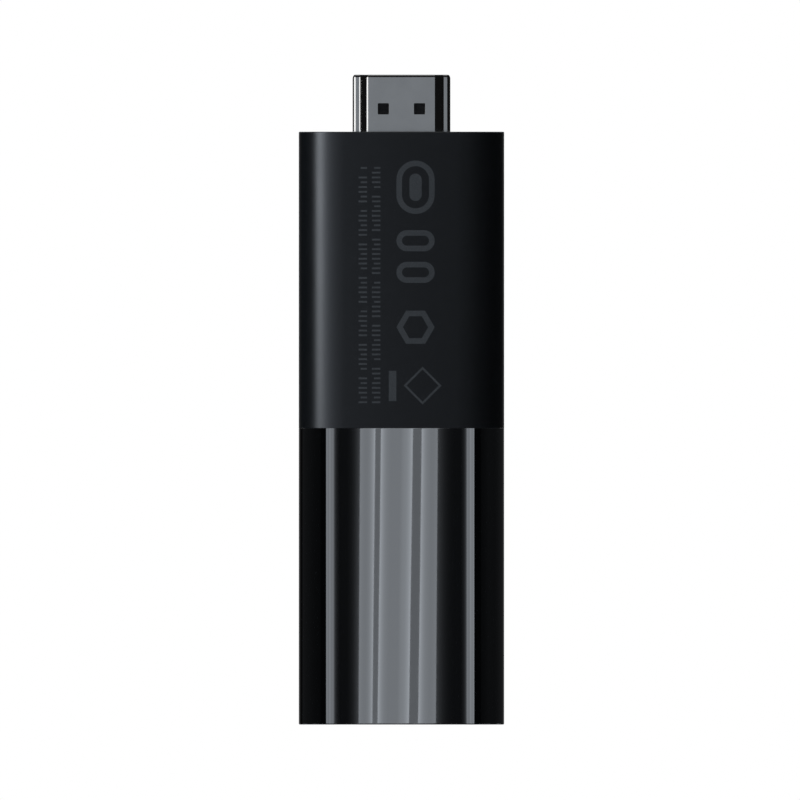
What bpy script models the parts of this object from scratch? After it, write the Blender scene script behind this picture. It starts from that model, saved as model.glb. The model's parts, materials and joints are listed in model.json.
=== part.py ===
"""Streaming media player: a pocket-size stick with an HDMI plug, two plastic covers and a board inside.

Frame: metres, +Z up. The stick stands on its flat tail face with the HDMI plug at the top, and the
origin is the centre of the tail face. X runs across the width and Y through the thickness. The
plug's wide face is towards +Y and its narrow face towards -Y.
"""

import bmesh
import bpy
from math import atan2, cos, pi, sin, tan
from mathutils import Vector

MM = 0.001

# Body: two cup-shaped covers that meet in a seam half way along
BODY_WIDTH = 29.2 * MM
BODY_THICKNESS = 15.2 * MM
BODY_LENGTH = 84.3 * MM
CROWN_RADIUS = 90.0 * MM  # the slight crown of the front and back faces
WALL = 1.3 * MM
SEAM_Z = BODY_LENGTH / 2
SEAM_GAP = 0.1 * MM
RIM_BEVEL = 0.15 * MM
LIP_INSET = 0.7 * MM  # the gloss cover's lip slides into the matte cover
LIP_HEIGHT = 3.5 * MM
SLIDE_GAP = 0.08 * MM
CAVITY_TOP = BODY_LENGTH - WALL

# HDMI type A plug
PLUG_HALF_WIDTH = 6.95 * MM
PLUG_HALF_HEIGHT = 2.225 * MM
PLUG_TIP_Z = 92.4 * MM
PLUG_ROOT_Z = 81.9 * MM
SHELL_SHEET = 0.3 * MM
INSULATOR_INSET = 0.35 * MM
LATCH_HOLE = 1.58 * MM
LATCH_HOLE_X = 2.57 * MM
LATCH_HOLE_Z = 87.55 * MM

# Plug contacts: ten on the wide side, nine on the narrow side, half a pitch apart
CONTACT_COUNT = 19
CONTACT_PITCH = 0.5 * MM
CONTACT_WIDTH = 0.45 * MM
CONTACT_THICKNESS = 0.18 * MM
CONTACT_PIVOT_Z = 82.3 * MM
UPPER_ROW_Y = 1.41 * MM
LOWER_ROW_Y = -0.61 * MM

# Micro-USB socket in the tail
USB_HALF_WIDTH = 3.75 * MM
USB_HALF_HEIGHT = 1.25 * MM
USB_MOUTH_Z = 0.5 * MM
USB_REAR_Z = 5.5 * MM
USB_CONTACT_PITCH = 0.65 * MM

# Main board, across the width at mid thickness
BOARD_HALF_WIDTH = 12.6 * MM
BOARD_HALF_THICKNESS = 0.5 * MM
BOARD_LOW_Z = 2.2 * MM
BOARD_HIGH_Z = 81.7 * MM
MOUNT_GAP = 0.1 * MM  # the solder or glue film under a part on the board

# Screws that clamp the two heat sinks over the board
SCREW_X = 8.0 * MM
SCREW_ROWS_Z = (25.0 * MM, 69.0 * MM)
SCREW_SHAFT_RADIUS = 0.8 * MM
SCREW_HEAD_RADIUS = 1.3 * MM
SCREW_HEAD_HEIGHT = 0.8 * MM
BOSS_RADIUS = 1.6 * MM

AXIS_TURNS = {"Z": (0, 0, 0), "Y": (pi / 2, 0, 0), "X": (pi / 2, 0, pi / 2)}
WELD = 1e-6
FLAT = 0.001  # faces that meet at less than this angle become one


# ---------------------------------------------------------------- scene and materials


def clear_scene():
    for piece in list(bpy.data.objects):
        bpy.data.objects.remove(piece, do_unlink=True)


def new_collection(name):
    collection = bpy.data.collections.new(name)
    bpy.context.scene.collection.children.link(collection)
    return collection


def make_material(name, colour, roughness, metallic=0.0):
    material = bpy.data.materials.new(name)
    material.use_nodes = True
    shader = material.node_tree.nodes["Principled BSDF"]
    shader.inputs["Base Color"].default_value = (*colour, 1.0)
    shader.inputs["Roughness"].default_value = roughness
    shader.inputs["Metallic"].default_value = metallic
    return material


# ---------------------------------------------------------------- outlines


def arc(centre, radius, start, end, steps):
    """Points from the start angle to the end angle, both ends included."""
    turns = [start + (end - start) * i / steps for i in range(steps + 1)]
    return [(centre[0] + radius * cos(t), centre[1] + radius * sin(t)) for t in turns]


def rectangle(low, high):
    return [(low[0], low[1]), (high[0], low[1]), (high[0], high[1]), (low[0], high[1])]


def circle(centre, radius, steps=16):
    return arc(centre, radius, 0, 2 * pi, steps)[:-1]


def mirrored(half):
    """A closed outline from its right half, which runs from low to high."""
    return half + [(-x, y) for x, y in reversed(half)]


def corner_turn(before, corner, after):
    """Half the turn of direction at a corner: positive to the left, negative to the right."""
    way_in = (corner - before).normalized()
    way_out = (after - corner).normalized()
    return atan2(way_in.x * way_out.y - way_in.y * way_out.x, way_in.dot(way_out)) / 2


def rounded_outline(corners, steps=3):
    """An outline from (x, y, radius) corners, each replaced by an arc of its radius."""
    points = []
    spots = [Vector(corner[:2]) for corner in corners]
    radii = [corner[2] for corner in corners]
    for i, radius in enumerate(radii):
        corner, before, after = spots[i], spots[i - 1], spots[(i + 1) % len(spots)]
        half_turn = corner_turn(before, corner, after)
        way_in = (corner - before).normalized()
        start = corner - way_in * radius * abs(tan(half_turn))
        side = Vector((-way_in.y, way_in.x)) * (1 if half_turn > 0 else -1)
        centre = start + side * radius
        first = atan2(-side.y, -side.x)
        points += arc(centre, radius, first, first + 2 * half_turn, steps)
    return points


def inset_corners(corners, inset):
    """The same corners moved inwards, for an outline that runs anticlockwise."""
    moved = []
    spots = [Vector(corner[:2]) for corner in corners]
    radii = [corner[2] for corner in corners]
    for i, radius in enumerate(radii):
        corner, before, after = spots[i], spots[i - 1], spots[(i + 1) % len(spots)]
        half_turn = corner_turn(before, corner, after)
        way_in = (corner - before).normalized()
        side = Vector((-way_in.y, way_in.x))
        spot = corner + (side - way_in * tan(half_turn)) * inset
        moved.append((spot.x, spot.y, radius - inset if half_turn > 0 else radius + inset))
    return moved


def rounded_rectangle(half_width, half_height, radius, centre=(0, 0), steps=3):
    x, y = centre
    corners = [
        (x - half_width, y - half_height, radius),
        (x + half_width, y - half_height, radius),
        (x + half_width, y + half_height, radius),
        (x - half_width, y + half_height, radius),
    ]
    return rounded_outline(corners, steps)


def body_section(inset, side_steps=16, crown_steps=8):
    """The body's rounded section: two crowned faces joined by tangent side arcs."""
    reach = CROWN_RADIUS - BODY_THICKNESS / 2
    side_reach = CROWN_RADIUS - BODY_WIDTH / 2
    side_x = (reach**2 - side_reach**2) / (2 * side_reach)
    side_radius = BODY_WIDTH / 2 - side_x - inset
    turn = atan2(reach, side_x)
    right = arc((side_x, 0), side_radius, -turn, turn, side_steps)
    top = arc((0, -reach), CROWN_RADIUS - inset, turn, pi - turn, crown_steps)[1:-1]
    left = [(-x, -y) for x, y in right]
    bottom = [(-x, -y) for x, y in top]
    return right + top + left + bottom


def plug_corners():
    """The HDMI plug's section, anticlockwise: wide towards +Y, stepped in towards -Y."""
    shoulder_y = -0.925 * MM
    right = [
        (4.9 * MM, -PLUG_HALF_HEIGHT, 0.4 * MM),
        (5.9 * MM, shoulder_y, 0.2 * MM),
        (PLUG_HALF_WIDTH, shoulder_y, 0.7 * MM),
        (PLUG_HALF_WIDTH, PLUG_HALF_HEIGHT, 0.7 * MM),
    ]
    return right + [(-x, y, radius) for x, y, radius in reversed(right)]


def plug_section(inset):
    return rounded_outline(inset_corners(plug_corners(), inset), steps=5)


def usb_section(inset):
    """The micro-USB shell's section: two corners cut off on its narrow side."""
    right = [
        (2.7 * MM, -USB_HALF_HEIGHT, 0.4 * MM),
        (USB_HALF_WIDTH, -0.35 * MM, 0.4 * MM),
        (USB_HALF_WIDTH, USB_HALF_HEIGHT, 0.45 * MM),
    ]
    corners = right + [(-x, y, radius) for x, y, radius in reversed(right)]
    return rounded_outline(inset_corners(corners, inset))


def strip_outline(path, thickness):
    """The edge view of a bent metal strip: its centre line thickened to both sides."""
    spots = [Vector(spot) for spot in path]
    sides = []
    for i, spot in enumerate(spots):
        way_in = (spot - spots[i - 1]).normalized() if i else (spots[1] - spot).normalized()
        way_out = (spots[i + 1] - spot).normalized() if i + 1 < len(spots) else way_in
        middle = (way_in + way_out).normalized()
        reach = thickness / 2 / middle.dot(way_in)
        sides.append(Vector((-middle.y, middle.x)) * reach)
    left = [tuple(spot + side) for spot, side in zip(spots, sides)]
    right = [tuple(spot - side) for spot, side in zip(spots, sides)]
    return right + left[::-1]


# ---------------------------------------------------------------- solids


def prism(name, outlines, low, high, axis="Z"):
    """A flat outline pushed from low to high along an axis. Outlines after the first are holes.

    The outline's own directions are (x, y) for Z, (x, z) for Y and (y, z) for X.
    """
    curve = bpy.data.curves.new(name, "CURVE")
    curve.dimensions = "2D"
    curve.fill_mode = "BOTH"
    curve.extrude = (high - low) / 2
    for outline in outlines:
        spline = curve.splines.new("POLY")
        spline.points.add(len(outline) - 1)
        for point, (x, y) in zip(spline.points, outline):
            point.co = (x, y, 0, 1)
        spline.use_cyclic_u = True
    guide = bpy.data.objects.new(name, curve)
    guide.rotation_euler = AXIS_TURNS[axis]
    guide.location["XYZ".index(axis)] = (low + high) / 2
    piece = as_mesh_object(guide)
    bpy.data.curves.remove(curve)
    return piece


def as_mesh_object(guide):
    """A mesh object in the place of a curve or of an object with modifiers, which is removed."""
    bpy.context.scene.collection.objects.link(guide)
    bpy.context.view_layer.update()
    seen = guide.evaluated_get(bpy.context.evaluated_depsgraph_get())
    mesh = bpy.data.meshes.new_from_object(seen)
    welded = bmesh.new()
    welded.from_mesh(mesh)
    bmesh.ops.remove_doubles(welded, verts=welded.verts, dist=WELD)
    bmesh.ops.recalc_face_normals(welded, faces=welded.faces)
    bmesh.ops.dissolve_limit(welded, angle_limit=FLAT, verts=welded.verts, edges=welded.edges)
    welded.to_mesh(mesh)
    welded.free()
    name = guide.name
    place = guide.matrix_world.copy()
    bpy.data.objects.remove(guide, do_unlink=True)
    piece = bpy.data.objects.new(name, mesh)
    piece.matrix_world = place
    mesh.name = name
    return piece


def box(name, low, high, bevel=0.0):
    """A box between two corners, with its edges broken by a small bevel."""
    centre = [(a + b) / 2 for a, b in zip(low, high)]
    bpy.ops.mesh.primitive_cube_add(size=1, location=centre)
    piece = bpy.context.object
    piece.name = name
    piece.scale = [b - a for a, b in zip(low, high)]
    bpy.ops.object.transform_apply(location=False, rotation=False, scale=True)
    for collection in list(piece.users_collection):
        collection.objects.unlink(piece)
    if bevel:
        soften(piece, bevel)
    return piece


def soften(piece, width, segments=1):
    modifier = piece.modifiers.new("Broken edges", "BEVEL")
    modifier.width = width
    modifier.segments = segments
    modifier.limit_method = "ANGLE"
    modifier.angle_limit = pi / 4


def soften_end(piece, width, end, segments=2):
    """Round only the rim at one end of a prism: end is 1 for its high end, -1 for its low end."""
    mesh = piece.data
    level = max(vertex.co.z for vertex in mesh.vertices) * end
    side_faces = [face for face in mesh.polygons if abs(face.normal.z) < 0.5]
    side_edges = {key for face in side_faces for key in face.edge_keys}
    weights = mesh.attributes.new("bevel_weight_edge", "FLOAT", "EDGE")
    for edge in mesh.edges:
        heights = [mesh.vertices[i].co.z for i in edge.vertices]
        at_end = all(abs(height - level) < WELD for height in heights)
        weights.data[edge.index].value = 1.0 if at_end and edge.key in side_edges else 0.0
    modifier = piece.modifiers.new("Rounded rim", "BEVEL")
    modifier.width = width
    modifier.segments = segments
    modifier.limit_method = "WEIGHT"


def combine(piece, other, operation):
    """Cut another solid from the piece, or join it on. The other stays as a hidden guide."""
    cutters.objects.link(other)
    other.hide_render = True
    other.display_type = "WIRE"
    modifier = piece.modifiers.new(other.name, "BOOLEAN")
    modifier.operation = operation
    modifier.object = other
    modifier.solver = "EXACT"


def cut(piece, *others):
    for other in others:
        combine(piece, other, "DIFFERENCE")


def join(piece, *others):
    for other in others:
        combine(piece, other, "UNION")


def cylinder(name, centre, radius, low, high, axis="Y", steps=16):
    return prism(name, [circle(centre, radius, steps)], low, high, axis)


def finish(piece, material, smooth=True):
    """Put a finished piece in the object's collection with its material."""
    product.objects.link(piece)
    piece.data.materials.clear()
    piece.data.materials.append(material)
    if smooth:
        piece.data.shade_smooth()
        piece.data.set_sharp_from_angle(angle=pi / 5)
    if piece.parent is None:
        bpy.context.view_layer.update()
        piece.parent = stick
    return piece


# ---------------------------------------------------------------- covers


def board_ribs(name, low, high):
    """Four ribs on the side walls that hold the board's edges between them."""
    inner_x, wall_x = 11.9 * MM, BODY_WIDTH / 2 - 0.7 * WALL
    board_y, outer_y = BOARD_HALF_THICKNESS + MOUNT_GAP, 1.5 * MM
    ribs = []
    for side in (-1, 1):
        for face in (-1, 1):
            xs = sorted((side * inner_x, side * wall_x))
            ys = sorted((face * board_y, face * outer_y))
            label = f"{name}_rib_{'left' if side < 0 else 'right'}_{'back' if face < 0 else 'front'}"
            ribs.append(box(label, (xs[0], ys[0], low), (xs[1], ys[1], high)))
    return ribs


def snap_boxes(name, inset, proud, half_length, half_height):
    """Low boxes on the lip's front and back, two on each, for the snap ridges or their grooves."""
    level = SEAM_Z + 2.1 * MM
    middle_x, depth, sink = 5.0 * MM, 0.45 * MM, 0.14 * MM
    boxes = []
    for face in (-1, 1):
        for side in (-1, 1):
            middle = side * middle_x
            crown = BODY_THICKNESS / 2 - inset
            ys = sorted((face * (crown - depth), face * (crown + proud - sink)))
            low = (middle - half_length, ys[0], level - half_height)
            high = (middle + half_length, ys[1], level + half_height)
            boxes.append(box(f"{name}_{face}_{side}", low, high))
    return boxes


def make_gloss_housing():
    """The tail cover: a cup with a thin lip that slides into the matte cover."""
    rim_z = SEAM_Z - SEAM_GAP / 2
    cup = prism("gloss_housing", [body_section(0)], 0, rim_z)
    soften_end(cup, RIM_BEVEL, -1)
    lip = prism("gloss_lip", [body_section(LIP_INSET)], rim_z - 2 * MM, SEAM_Z + LIP_HEIGHT)
    cavity = prism("gloss_cavity", [body_section(WALL)], WALL, SEAM_Z + 2 * LIP_HEIGHT)
    port = rounded_rectangle(4.15 * MM, 1.65 * MM, 0.7 * MM)
    ridges = snap_boxes("gloss_snap", LIP_INSET, 0.25 * MM, 1.5 * MM, 0.25 * MM)
    join(cup, lip, *ridges)
    cut(cup, cavity, prism("usb_port_opening", [port], -WALL, 2 * WALL))
    join(cup, *board_ribs("gloss", 3.0 * MM, 40.5 * MM))
    return finish(cup, GLOSS_PLASTIC)


def make_matte_housing():
    """The plug-end cover: a cup whose mouth takes the gloss cover's lip."""
    rim_z = SEAM_Z + SEAM_GAP / 2
    cup = prism("matte_housing", [body_section(0)], rim_z, BODY_LENGTH)
    soften_end(cup, RIM_BEVEL, 1)
    socket_top = SEAM_Z + LIP_HEIGHT + 2 * SLIDE_GAP
    socket = prism("matte_socket", [body_section(LIP_INSET - SLIDE_GAP)], 0.9 * rim_z, socket_top)
    cavity = prism("matte_cavity", [body_section(WALL)], rim_z + 1 * MM, CAVITY_TOP)
    opening = plug_section(-SLIDE_GAP)
    plug_opening = prism("plug_opening", [opening], CAVITY_TOP - 1 * MM, BODY_LENGTH + 1 * MM)
    grooves = snap_boxes("matte_snap", LIP_INSET, 0.35 * MM, 1.65 * MM, 0.4 * MM)
    cut(cup, socket, *grooves, cavity, plug_opening)
    join(cup, *board_ribs("matte", 47.0 * MM, 80.0 * MM))
    return finish(cup, MATTE_PLASTIC)


# ---------------------------------------------------------------- HDMI plug


def make_plug_shell():
    """A folded steel sheet: a stepped tube with four latch holes, a seam and two board legs."""
    shell = prism("plug_shell", [plug_section(0)], PLUG_ROOT_Z, PLUG_TIP_Z)
    soften_end(shell, 0.22 * MM, 1)
    bore = prism("plug_bore", [plug_section(SHELL_SHEET)], PLUG_ROOT_Z - 1 * MM, PLUG_TIP_Z + 1 * MM)
    cut(shell, bore)
    for side in (-1, 1):
        hole_low = (side * LATCH_HOLE_X - LATCH_HOLE / 2, -3 * MM, LATCH_HOLE_Z - LATCH_HOLE / 2)
        hole_high = (side * LATCH_HOLE_X + LATCH_HOLE / 2, 3 * MM, LATCH_HOLE_Z + LATCH_HOLE / 2)
        cut(shell, box(f"latch_hole_{side}", hole_low, hole_high))
    seam_low = (-0.03 * MM, 1 * MM, PLUG_ROOT_Z - 1 * MM)
    seam_high = (0.03 * MM, 3 * MM, PLUG_TIP_Z + 1 * MM)
    cut(shell, box("plug_seam", seam_low, seam_high))
    for side in (-1, 1):
        xs = sorted((side * 6.67 * MM, side * 6.93 * MM))
        leg = box(f"shell_leg_{side}", (xs[0], -0.15 * MM, 78.5 * MM), (xs[1], 1.15 * MM, 82.4 * MM))
        join(shell, leg)
    return finish(shell, NICKEL_STEEL)


def row_places(first_pin):
    """The x of each contact in a row: odd pins on the wide side, even pins on the narrow side."""
    middle = (CONTACT_COUNT + 1) / 2
    return {pin: (pin - middle) * CONTACT_PITCH for pin in range(first_pin, CONTACT_COUNT + 1, 2)}


def comb_outline():
    """The insulator's mouth: a slot for the socket's tongue, with a groove for each contact."""
    half_slot = 5.5 * MM
    low, high = -0.4 * MM, 1.2 * MM
    low_groove, high_groove = -0.95 * MM, 1.7 * MM
    half_groove = 0.3 * MM
    points = [(-half_slot, low)]
    for x in row_places(2).values():
        points += [(x - half_groove, low), (x - half_groove, low_groove)]
        points += [(x + half_groove, low_groove), (x + half_groove, low)]
    points += [(half_slot, low), (half_slot, high)]
    for x in reversed(list(row_places(1).values())):
        points += [(x + half_groove, high), (x + half_groove, high_groove)]
        points += [(x - half_groove, high_groove), (x - half_groove, high)]
    return points + [(-half_slot, high)]


def make_plug_insulator():
    outlines = [plug_section(INSULATOR_INSET), comb_outline()]
    return finish(prism("plug_insulator", outlines, 84.9 * MM, 92.0 * MM), BLACK_NYLON, False)


def make_plug_rear_block():
    """The block that the contacts pass through on their way to the board."""
    half_width = 0.31 * MM
    half_height = 0.21 * MM
    outlines = [plug_section(INSULATOR_INSET)]
    for first_pin, row_y in ((1, UPPER_ROW_Y), (2, LOWER_ROW_Y)):
        for x in row_places(first_pin).values():
            low = (x - half_width, row_y - half_height)
            high = (x + half_width, row_y + half_height)
            outlines.append(rectangle(low, high))
    return finish(prism("plug_rear_block", outlines, 82.15 * MM, 84.85 * MM), BLACK_NYLON, False)


def upper_contact_path():
    """Centre line of a wide-side contact as (y, z): solder tail, straight root and sprung tip."""
    return [
        (0.72 * MM, 79.6 * MM),
        (0.72 * MM, 81.2 * MM),
        (UPPER_ROW_Y, 82.0 * MM),
        (UPPER_ROW_Y, 85.0 * MM),
        (1.08 * MM, 89.6 * MM),
        (1.04 * MM, 90.3 * MM),
        (1.25 * MM, 91.3 * MM),
    ]


def lower_contact_path():
    """The same on the narrow side, where the contact bends the other way."""
    return [
        (-0.72 * MM, 79.6 * MM),
        (-0.72 * MM, 81.2 * MM),
        (LOWER_ROW_Y, 82.0 * MM),
        (LOWER_ROW_Y, 85.0 * MM),
        (-0.28 * MM, 89.6 * MM),
        (-0.24 * MM, 90.3 * MM),
        (-0.45 * MM, 91.3 * MM),
    ]


def make_contact_row(row, first_pin, row_y, path):
    """One row of gold contacts on an empty at the row's flexing axis, sharing one mesh."""
    pivot = bpy.data.objects.new(f"{row}_contact_pivot", None)
    pivot.location = (0, row_y, CONTACT_PIVOT_Z)
    pivot.empty_display_size = 2 * MM
    product.objects.link(pivot)
    pivot.parent = stick
    local_path = [(y - row_y, z - CONTACT_PIVOT_Z) for y, z in path]
    edge_view = strip_outline(local_path, CONTACT_THICKNESS)
    first = prism(f"{row}_contact_shape", [edge_view], -CONTACT_WIDTH / 2, CONTACT_WIDTH / 2, "X")
    shape, turn = first.data, first.rotation_euler.copy()
    bpy.data.objects.remove(first, do_unlink=True)
    for pin, x in row_places(first_pin).items():
        contact = bpy.data.objects.new(f"plug_contact_{pin:02d}", shape)
        contact.rotation_euler = turn
        contact.location = (x, 0, 0)
        contact.parent = pivot
        finish(contact, GOLD, False)


# ---------------------------------------------------------------- micro-USB socket


def make_usb_shell():
    shell = prism("usb_shell", [usb_section(0)], USB_MOUTH_Z, USB_REAR_Z)
    flare = prism("usb_flare", [usb_section(-0.22 * MM)], USB_MOUTH_Z + 0.02 * MM, 0.95 * MM)
    join(shell, flare)
    for side in (-1, 1):
        xs = sorted((side * 3.6 * MM, side * 4.9 * MM))
        join(shell, box(f"usb_wing_{side}", (xs[0], 0.6 * MM, 3.0 * MM), (xs[1], 0.85 * MM, 5.2 * MM)))
    cut(shell, prism("usb_bore", [usb_section(SHELL_SHEET)], -1 * MM, 7 * MM))
    return finish(shell, NICKEL_STEEL)


def usb_contact_places():
    return [(i - 2) * USB_CONTACT_PITCH for i in range(5)]


def make_usb_tongue():
    """The plastic tongue that carries the five contacts, on a block at the back of the shell."""
    tongue = box("usb_tongue", (-1.75 * MM, 0.15 * MM, 1.5 * MM), (1.75 * MM, 0.75 * MM, 4.8 * MM))
    block = box("usb_rear_block", (-3.3 * MM, -0.3 * MM, 4.4 * MM), (3.3 * MM, 0.85 * MM, 5.4 * MM))
    join(tongue, block)
    for i, x in enumerate(usb_contact_places()):
        low = (x - 0.24 * MM, -0.06 * MM, 4.2 * MM)
        high = (x + 0.24 * MM, 0.21 * MM, 6.0 * MM)
        cut(tongue, box(f"usb_contact_way_{i + 1}", low, high))
    return finish(tongue, BLACK_NYLON, False)


def make_usb_contacts():
    path = [(0.05 * MM, 1.7 * MM), (0.05 * MM, 5.7 * MM), (0.68 * MM, 6.6 * MM), (0.68 * MM, 8.3 * MM)]
    edge_view = strip_outline(path, 0.12 * MM)
    first = prism("usb_contact_shape", [edge_view], -0.19 * MM, 0.19 * MM, "X")
    shape, turn = first.data, first.rotation_euler.copy()
    bpy.data.objects.remove(first, do_unlink=True)
    for i, x in enumerate(usb_contact_places()):
        contact = bpy.data.objects.new(f"usb_contact_{i + 1}", shape)
        contact.rotation_euler = turn
        contact.location = (x, 0, 0)
        finish(contact, GOLD, False)


# ---------------------------------------------------------------- board and what is on it


def screw_places():
    return [(x, z) for z in SCREW_ROWS_Z for x in (-SCREW_X, SCREW_X)]


def make_main_board():
    """The board's outline: a notch for the USB socket and open slots for the plug shell's legs."""
    slot_low, slot_high, slot_z = 6.5 * MM, 7.1 * MM, 78.3 * MM
    notch_half, notch_top = 4.0 * MM, 7.4 * MM
    half = [
        (notch_half, notch_top),
        (notch_half, BOARD_LOW_Z),
        (BOARD_HALF_WIDTH, BOARD_LOW_Z),
        (BOARD_HALF_WIDTH, BOARD_HIGH_Z),
        (slot_high, BOARD_HIGH_Z),
        (slot_high, slot_z),
        (slot_low, slot_z),
        (slot_low, BOARD_HIGH_Z),
    ]
    holes = [circle(place, 1.0 * MM) for place in screw_places()]
    thickness = BOARD_HALF_THICKNESS
    board = prism("main_board", [mirrored(half), *holes], -thickness, thickness, "Y")
    return finish(board, BOARD_GREEN, False)


def on_front(name, centre, size, material, height, bevel=0.1 * MM):
    """A box-shaped part on the board's front face: centre and size are (x, z)."""
    base = BOARD_HALF_THICKNESS + MOUNT_GAP
    low = (centre[0] - size[0] / 2, base, centre[1] - size[1] / 2)
    high = (centre[0] + size[0] / 2, base + height, centre[1] + size[1] / 2)
    return finish(box(name, low, high, bevel), material, False)


def on_back(name, centre, size, material, height, bevel=0.1 * MM):
    """The same on the board's back face."""
    base = -BOARD_HALF_THICKNESS - MOUNT_GAP
    low = (centre[0] - size[0] / 2, base - height, centre[1] - size[1] / 2)
    high = (centre[0] + size[0] / 2, base, centre[1] + size[1] / 2)
    return finish(box(name, low, high, bevel), material, False)


def make_front_chips():
    on_front("soc_chip", (0, 47 * MM), (14 * MM, 14 * MM), CHIP_BLACK, 1.2 * MM)
    on_front("crystal", (3.0 * MM, 34.5 * MM), (3.2 * MM, 2.5 * MM), NICKEL_STEEL, 0.8 * MM)
    pad = box("soc_thermal_pad", (-6.5 * MM, 1.9 * MM, 40.5 * MM), (6.5 * MM, 2.5 * MM, 53.5 * MM))
    finish(pad, THERMAL_GREY, False)
    pad = box("lid_thermal_pad", (-8.0 * MM, 2.9 * MM, 37 * MM), (8.0 * MM, 3.7 * MM, 57 * MM))
    finish(pad, THERMAL_GREY, False)


def make_back_chips():
    for i, side in enumerate((-1, 1)):
        centre = (side * 5.3 * MM, 47 * MM)
        on_back(f"memory_chip_{i + 1}", centre, (9 * MM, 13.5 * MM), CHIP_BLACK, 1.0 * MM)
    on_back("flash_chip", (0, 33.3 * MM), (11.5 * MM, 11.5 * MM), CHIP_BLACK, 1.0 * MM)
    pad = box("memory_thermal_pad", (-9.5 * MM, -2.3 * MM, 28 * MM), (9.5 * MM, -1.7 * MM, 54 * MM))
    finish(pad, THERMAL_GREY, False)
    on_back("power_chip", (0, 60.5 * MM), (4 * MM, 4 * MM), CHIP_BLACK, 0.8 * MM)
    for i, side in enumerate((-1, 1)):
        centre = (side * 5.5 * MM, 62 * MM)
        on_back(f"power_inductor_{i + 1}", centre, (4 * MM, 4 * MM), FERRITE_GREY, 2.0 * MM, 0.3 * MM)
        centre = (side * 6.5 * MM, 12 * MM)
        on_back(f"bulk_capacitor_{i + 1}", centre, (3.5 * MM, 2.8 * MM), TANTALUM_YELLOW, 1.9 * MM, 0.2 * MM)


def make_shield():
    """The metal can over the main chip: a frame soldered to the board and a vented lid over it."""
    half_width, half_height, middle = 10.5 * MM, 14.0 * MM, (0, 44.0 * MM)

    def ring(inset, radius):
        return rounded_rectangle(half_width - inset, half_height - inset, radius, middle)

    outer, inner = ring(0, 0.8 * MM), ring(0.25 * MM, 0.55 * MM)
    frame = prism("shield_frame", [outer, inner], 0.6 * MM, 2.45 * MM, "Y")
    flange = [ring(0.04 * MM, 0.76 * MM), ring(1.4 * MM, 1.0 * MM)]
    join(frame, prism("shield_flange", flange, 2.2 * MM, 2.5 * MM, "Y"))
    finish(frame, NICKEL_STEEL)
    lid = prism("shield_lid", [ring(-0.3 * MM, 1.1 * MM)], 1.3 * MM, 2.8 * MM, "Y")
    cut(lid, prism("lid_hollow", [ring(-0.08 * MM, 0.88 * MM)], 1.0 * MM, 2.58 * MM, "Y"))
    for level in (32.0 * MM, 35.0 * MM):
        for i in range(4):
            centre = ((i - 1.5) * 4.0 * MM, level)
            label = f"lid_vent_{i}_{'low' if level < 33 * MM else 'high'}"
            cut(lid, cylinder(label, centre, 0.6 * MM, 2.4 * MM, 3.0 * MM, steps=8))
    finish(lid, NICKEL_STEEL)


def plate_outline(half_width, low, high, radius):
    middle = (0, (low + high) / 2)
    return rounded_rectangle(half_width, (high - low) / 2, radius, middle)


def make_front_heat_sink():
    """A cast plate over the shield, with four blind bosses that take the screws."""
    outline = plate_outline(10.8 * MM, 22.5 * MM, 71.5 * MM, 1.5 * MM)
    plate = prism("front_heat_sink", [outline], 3.8 * MM, 4.6 * MM, "Y")
    for i, place in enumerate(screw_places()):
        join(plate, cylinder(f"front_boss_{i}", place, BOSS_RADIUS, 0.6 * MM, 4.2 * MM))
        cut(plate, cylinder(f"front_boss_hole_{i}", place, 0.9 * MM, 0.3 * MM, 3.6 * MM))
    return finish(plate, CAST_ALUMINIUM)


def make_back_heat_sink():
    """The same behind the board, with a raised pad towards the memory and holes for the screws."""
    outline = plate_outline(10.8 * MM, 22.5 * MM, 71.5 * MM, 1.5 * MM)
    plate = prism("back_heat_sink", [outline], -4.6 * MM, -3.8 * MM, "Y")
    pedestal = plate_outline(10.0 * MM, 27.5 * MM, 55.0 * MM, 1.0 * MM)
    join(plate, prism("back_pedestal", [pedestal], -4.2 * MM, -2.4 * MM, "Y"))
    for i, place in enumerate(screw_places()):
        join(plate, cylinder(f"back_boss_{i}", place, BOSS_RADIUS, -4.2 * MM, -0.6 * MM))
        cut(plate, cylinder(f"back_boss_hole_{i}", place, 0.95 * MM, -5.0 * MM, 0.0))
    return finish(plate, CAST_ALUMINIUM)


def screw_shape():
    """A turned cross-head machine screw along local Z, with its head at the top."""
    shaft_length = 7.8 * MM
    tip_taper = 0.3 * MM
    profile = [
        (0, SCREW_HEAD_HEIGHT),
        (SCREW_HEAD_RADIUS - 0.2 * MM, SCREW_HEAD_HEIGHT),
        (SCREW_HEAD_RADIUS, SCREW_HEAD_HEIGHT - 0.2 * MM),
        (SCREW_HEAD_RADIUS, 0),
        (SCREW_SHAFT_RADIUS, 0),
        (SCREW_SHAFT_RADIUS, tip_taper - shaft_length),
        (SCREW_SHAFT_RADIUS - tip_taper, -shaft_length),
        (0, -shaft_length),
    ]
    mesh = bpy.data.meshes.new("screw_profile")
    edges = [(i, i + 1) for i in range(len(profile) - 1)]
    mesh.from_pydata([(radius, 0, height) for radius, height in profile], edges, [])
    turned = bpy.data.objects.new("screw_shape", mesh)
    screw = turned.modifiers.new("Turned", "SCREW")
    screw.steps = screw.render_steps = 16
    screw.use_merge_vertices = True
    screw.merge_threshold = WELD
    for i, size in enumerate(((0.75 * MM, 0.15 * MM), (0.15 * MM, 0.75 * MM))):
        low = (-size[0], -size[1], SCREW_HEAD_HEIGHT - 0.45 * MM)
        high = (size[0], size[1], SCREW_HEAD_HEIGHT + 1 * MM)
        cut(turned, box(f"screw_slot_{i}", low, high))
    return as_mesh_object(turned)


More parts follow.
